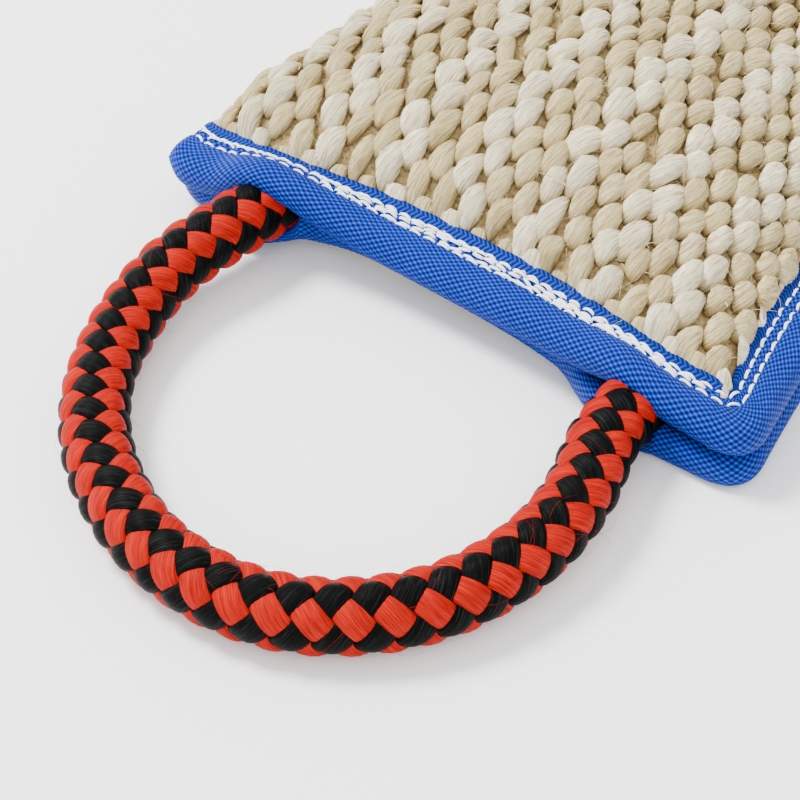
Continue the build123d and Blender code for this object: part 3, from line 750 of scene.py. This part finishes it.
stitches = [
    row_object("stitches_inner_upper", 3.5, 4.3, 1.0, 0.50, 11, wobble=0.10),
    row_object("stitches_outer_upper", 6.4, 4.3, 1.0, 0.50, 12, wobble=0.10, start=4.1),
]
at_near = lambda p, y0_, y1_: (p[:, 0] < X_IN + 6) & (p[:, 1] > y0_) & (p[:, 1] < y1_)
passes = []
for k, (inset, y0_, y1_, pitch, rad) in enumerate([
        (4.1, -30, 46, 3.9, 0.48), (4.9, -34, 40, 3.7, 0.50), (5.8, -30, 44, 3.9, 0.48),
        (4.2, 40, 86, 4.6, 0.52),
        (5.0, -70, -24, 3.7, 0.66), (5.6, -62, -30, 3.5, 0.64)]):
    pts, up = row_on_upper(inset)
    passes.append(cut_row(pts, up, pitch, 0.6, 0.7 + 1.1 * k, 0.35, 30 + k,
                          lambda p, a_=y0_, b_=y1_: at_near(p, a_, b_), wobble=0.26) + (np.full(1, rad),))
p0 = np.vstack([p[0] for p in passes])
p1 = np.vstack([p[1] for p in passes])
pn = np.vstack([p[2] for p in passes])
pr = np.concatenate([np.full(len(p[0]), p[3][0]) for p in passes])
reinforce = threads("reinforcing_stitch_passes", p0, p1, pn, pr, 77, 0.62)

low_rows = []
for k, inset in enumerate((2.7, 5.6)):
    f_ = (BAND - inset) / BAND
    xy_ = louter + (linner - louter) * f_
    pts = np.column_stack([xy_, lob - 0.02])
    p0, p1, n_ = cut_row(pts, np.tile([0.0, 0.0, -1.0], (len(pts), 1)), 4.0, 0.55, 2.5 + 1.6 * k, 0.12, 90 + k)
    low_rows.append(threads(("stitches_inner_lower", "stitches_outer_lower")[k], p0, p1, n_, np.full(len(p0), 0.42), 95 + k, 0.02, 0.25))

# ---------------------------------------------------------------- stray straws in the jute
straws = []
for k, (x_, y_, z_, ang_, ln_, sz_) in enumerate([(-117.0, -14.0, 0, 2.2, 13.0, 0.20), (-118.0, -62.0, 0, 1.1, 9.0, 0.16), (-124.0, -52.0, 0, 2.9, 7.0, 0.13),
                                                  (-60.0, 20.0, 0, 0.4, 12.0, 0.26), (20.0, -30.0, 0, 2.0, 14.0, 0.28), (80.0, 30.0, 0, 0.9, 12.0, 0.28)]):
    row = TOP[:, :, :]
    i_ = int(np.clip(np.searchsorted(XS, x_), 0, len(XS) - 1))
    j_ = int(np.abs(TOP[i_, :, 1] - y_).argmin())
    straws.append((TOP[i_, j_] + np.array([0, 0, 2.4]), [math.cos(ang_), math.sin(ang_), 0.05], ln_, sz_))
straw = hairs("stray_straws", np.array([s_[0] for s_ in straws]), unit(np.array([s_[1] for s_ in straws])), np.tile([0.0, 0.0, 1.0], (len(straws), 1)),
              9, np.array([s_[3] for s_ in straws])[:, None, None], np.array([s_[2] for s_ in straws]), 0.35, JUTE, 5)

# ---------------------------------------------------------------- rope handle
route = np.array([
    (14.0, 54.7, 12.8), (-8.5, 54.7, 14.8), (-27.6, 58.1, 12.0), (-49.9, 53.7, 9.1), (-71.6, 42.6, 8.5), (-90.1, 23.4, 8.5),
    (-102.2, -4.2, 8.5), (-100.7, -34.3, 8.5), (-81.6, -57.2, 8.5), (-56.2, -66.3, 8.9), (-30.3, -65.4, 10.2), (-8.5, -56.4, 11.2), (14.0, -56.4, 9.4)])
route[:, 0] -= L2


def quadratic_route(c, n=60):
    """Smooth curve drawn by its control points: straight out of each exit, then one even bend after another."""
    out = []
    for i in range(1, len(c) - 1):
        a_ = c[0] if i == 1 else (c[i - 1] + c[i]) / 2
        b_ = c[-1] if i == len(c) - 2 else (c[i] + c[i + 1]) / 2
        t = np.linspace(0, 1, n, endpoint=i == len(c) - 2)[:, None]
        out.append((1 - t) ** 2 * a_ + 2 * t * (1 - t) * c[i] + t * t * b_)
    return np.vstack(out)


def even_path(p, step_):
    d = np.concatenate([[0], np.cumsum(np.linalg.norm(np.diff(p, axis=0), axis=1))])
    q = np.linspace(0, d[-1], max(4, int(d[-1] / step_)))
    return np.column_stack([np.interp(q, d, p[:, k]) for k in range(3)]), d[-1]


def frames_along(p):
    t = unit(np.gradient(p, axis=0))
    e = np.zeros_like(p)
    e[0] = unit(np.cross(t[0], [0.0, 0.0, 1.0]))
    for i in range(1, len(p)):
        v_ = e[i - 1] - t[i] * (e[i - 1] @ t[i])
        e[i] = v_ / np.linalg.norm(v_)
    return t, e, np.cross(t, e)


LEAD, CARRIERS = 31.2, 4
SPIN, BRAID_PHASE = 0.838, 3.25


def braid(prefix, path, phase=0.0, spin=0.0):
    """Eight flat carriers, four each way, each passing over one and under one."""
    fine, total = even_path(path, 0.55)
    t, e1, e2 = frames_along(fine)
    s_ = np.linspace(0, total, len(fine)) + phase
    made = []
    for hand, mat, tag in ((1, RED, "red"), (-1, BLACK, "black")):
        NS = 16
        a_ = np.arange(NS) / NS * 2 * math.pi
        allv, allq, alluv, allr = [], [], [], []
        for i in range(CARRIERS):
            th_ = 2 * math.pi * (i / CARRIERS + hand * s_ / LEAD) + spin
            over = hand * np.cos(math.pi * 2 * CARRIERS * s_ / LEAD)
            rad = 6.42 + 0.68 * np.sign(over) * np.abs(over) ** 0.8
            radial = e1 * np.cos(th_)[:, None] + e2 * np.sin(th_)[:, None]
            c = fine + radial * rad[:, None]
            along_ = unit(np.gradient(c, axis=0))
            n_ = unit(radial - along_ * (radial * along_).sum(1)[:, None])
            w_ = np.cross(n_, along_)
            hw = 3.34 * (1 - 0.07 * np.clip(-over, 0, 1)) + 0 * rad
            ht_ = 1.22 * (1 + 0.12 * np.clip(over, 0, 1))
            # a carrier is a flat bundle, its face crowned to the rope's round
            cx = np.sign(np.cos(a_)) * np.abs(np.cos(a_)) ** 0.82
            cz = np.sin(a_)
            wrap = -np.square(cx) * 0.34
            v_ = c[:, None] + w_[:, None] * (cx[None] * hw[:, None])[..., None] + n_[:, None] * ((cz[None] * ht_[:, None]) + wrap[None])[..., None]
            allv.append(v_.reshape(-1, 3))
            allq.append(grid_quads(len(fine), NS, closed_v=True) + i * len(fine) * NS)
            su = np.concatenate([[0], np.cumsum(np.linalg.norm(np.diff(c, axis=0), axis=1))])
            alluv.append(np.stack([np.broadcast_to(su[:, None], (len(fine), NS)).reshape(-1), np.broadcast_to((cx * 2.86 + np.where(cz < 0, 7.0, 0.0))[None], (len(fine), NS)).reshape(-1)], -1))
            allr.append(np.full(len(fine) * NS, (i + (0.5 if hand < 0 else 0)) / CARRIERS))
        made.append((np.vstack(allv), np.vstack(allq), np.vstack(alluv), np.concatenate(allr), mat))
    n0 = len(made[0][0])
    v_ = np.vstack([made[0][0], made[1][0]])
    q_ = np.vstack([made[0][1], made[1][1] + n0])
    NSC = 16
    a_ = np.arange(NSC) / NSC * 2 * math.pi
    core = fine[:, None] + (e1[:, None] * np.cos(a_)[None, :, None] + e2[:, None] * np.sin(a_)[None, :, None]) * 5.5
    n1 = len(v_)
    v_ = np.vstack([v_, core.reshape(-1, 3)])
    q_ = np.vstack([q_, grid_quads(len(fine), NSC, closed_v=True) + n1])
    uv_ = np.vstack([made[0][2], made[1][2], np.zeros((len(fine) * NSC, 2))])
    r_ = np.concatenate([made[0][3], made[1][3], np.zeros(len(fine) * NSC)])
    v_[:, 2] = np.maximum(v_[:, 2], 0.05)
    o = build(prefix, v_, q_, RED, uv_, {"rnd": r_})
    o.data.materials.append(BLACK)
    idx = np.zeros(len(q_), np.int32)
    idx[len(made[0][1]):] = 1
    if len(o.data.polygons) == len(q_):
        o.data.polygons.foreach_set("material_index", idx)
    return o, fine, total


centre = quadratic_route(route)
rope, rope_line, rope_len = braid("braided_rope_handle", centre, phase=BRAID_PHASE, spin=SPIN)
# inside the pad the stitching squashes each tail to an oval, lower than it is wide
tail_paths = {"left": np.array([(-135.5, TAIL_L, 12.6), (-122.0, TAIL_L, 10.4), (-100.5, TAIL_L, 10.2)]),
              "right": np.array([(-135.5, TAIL_R, 9.6), (-122.0, TAIL_R, 9.8), (-100.5, TAIL_R, 9.8)])}


def squashed(x, z, path):
    mid = np.interp(x, path[:, 0], path[:, 2])
    return mid + (z - mid) * (1 - 0.38 * smooth(x, -138.0, -131.0))


def tail(side):
    o, _, _ = braid("rope_tail_end_" + side, tail_paths[side])
    flat = np.zeros(len(o.data.vertices) * 3, np.float32)
    o.data.vertices.foreach_get("co", flat)
    c = flat.reshape(-1, 3).astype(float) * 1000
    c[:, 2] = squashed(c[:, 0], c[:, 2], tail_paths[side])
    o.data.vertices.foreach_set("co", (c * 0.001).astype(np.float32).ravel())
    o.data.update()
    return o


def whipping(side):
    """Turns of thread wound round the tail, near its cut end."""
    path = tail_paths[side]
    a, b = np.arange(36) / 36 * 2 * math.pi, np.arange(8) / 8 * 2 * math.pi
    xs = np.linspace(-118.5, -111.5, 8)
    r = 8.55 + 0.46 * np.cos(b)[None, None, :]
    v = np.stack(np.broadcast_arrays(xs[:, None, None] + 0.46 * np.sin(b)[None, None, :], path[0, 1] + r * np.cos(a)[None, :, None],
                                     np.interp(xs, path[:, 0], path[:, 2])[:, None, None] + 0.62 * r * np.sin(a)[None, :, None]), -1)
    i, j = np.meshgrid(np.arange(36), np.arange(8), indexing="ij")
    i2, j2 = (i + 1) % 36, (j + 1) % 8
    q = np.stack([i * 8 + j, i * 8 + j2, i2 * 8 + j2, i2 * 8 + j], -1).reshape(-1, 4)
    uv_ = np.broadcast_to(np.stack(np.broadcast_arrays(a[:, None] * 8.5, b[None, :] * 0.5), -1), (8, 36, 8, 2)).reshape(-1, 2)
    return build("tail_whipping_turns_" + side, v.reshape(-1, 3), many(q, 8, 36 * 8), THREAD, uv_, {"rnd": np.full(8 * 36 * 8, 0.5)})


left_end, right_end = tail("left"), tail("right")
left_wrap, right_wrap = whipping("left"), whipping("right")
print("rope length mm", round(rope_len, 1))

# fine filaments standing off the rope
nf = 90
fi = rng.integers(60, len(rope_line) - 60, nf)
ft_, fe1, fe2 = frames_along(rope_line)
fa = rng.uniform(0, 2 * math.pi, nf)[:, None]
fr = fe1[fi] * np.cos(fa) + fe2[fi] * np.sin(fa)
fdir = unit(ft_[fi] + np.cross(ft_[fi], fr) * rng.normal(0, 1, nf)[:, None])
lint = hairs("rope_filaments", rope_line[fi] + fr * 8.0, fdir, fr, 6, 0.04, rng.uniform(3.0, 8.0, nf), 0.8, RED, 9)

# ---------------------------------------------------------------- the pieces ride on the pad's body; the CAD parts drawn anew here are hidden
for o in (base_cloth, grains, fuzz, upper_tape, lower_tape, reinforce, straw, left_end, right_end, left_wrap, right_wrap, *stitches, *low_rows):
    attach(o, "pad")
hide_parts("jute_cover")
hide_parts("upper_edge_binding")
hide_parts("lower_edge_binding")
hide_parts("stitch_row_inner_upper")
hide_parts("stitch_row_outer_upper")
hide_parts("stitch_row_inner_lower")
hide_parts("stitch_row_outer_lower")
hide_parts("reinforcing_stitches")
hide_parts("rope_loop_sheath", "rope_loop_core")
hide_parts("rope_tail_left")
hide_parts("rope_tail_right")
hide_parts("tail_whipping_left")
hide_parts("tail_whipping_right")
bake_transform(rope)
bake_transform(lint)

# ---------------------------------------------------------------- floor, light, camera
floor_mat = Nodes("pale_floor")
fc = floor_mat.new("ShaderNodeTexCoord").outputs["Object"]
floor_mat.done(floor_mat.ramp(floor_mat.noise(fc, 3.0, 2.0), [(0.3, (0.93, 0.93, 0.93)), (0.7, (0.94, 0.94, 0.94))]), None, 0.9)
bpy.ops.mesh.primitive_plane_add(size=14.0, location=(0, 0, 0))
floor = bpy.context.object
floor.name = "floor"
floor.data.materials.append(floor_mat.mat)

world = bpy.data.worlds.new("studio")
bpy.context.scene.world = world
world.use_nodes = True
world.node_tree.nodes["Background"].inputs[0].default_value = (1.0, 1.0, 1.0, 1.0)
world.node_tree.nodes["Background"].inputs[1].default_value = 1.9


def area(name, loc, target, size, power):
    l = bpy.data.lights.new(name, "AREA")
    l.shape, l.size, l.energy = "DISK", size, power
    o = bpy.data.objects.new(name, l)
    bpy.context.scene.collection.objects.link(o)
    o.location = loc
    o.rotation_mode = "QUATERNION"
    o.rotation_quaternion = (Vector(target) - Vector(loc)).to_track_quat("-Z", "Y")
    return o


area("key", (-0.35, 0.75, 1.15), (-0.08, 0.0, 0.0), 0.5, 42.0)
area("fill", (-1.2, -0.6, 0.9), (-0.1, 0.0, 0.0), 1.2, 10.0)

cam = bpy.data.cameras.new("camera")
cam_o = bpy.data.objects.new("camera", cam)
bpy.context.scene.collection.objects.link(cam_o)
cam.sensor_width = 36.0
cam.lens = 104.609
cam.clip_start, cam.clip_end = 0.01, 50.0
right, up_, fwd = (0.6157729, -0.7875023, 0.0257646), (0.5017270, 0.4171096, 0.7578190), (0.6075308, 0.4537174, -0.6519560)
cam_o.matrix_world = Matrix((
    (right[0], up_[0], -fwd[0], -0.503171),
    (right[1], up_[1], -fwd[1], -0.255829),
    (right[2], up_[2], -fwd[2], 0.356831),
    (0, 0, 0, 1)))
bpy.context.scene.camera = cam_o
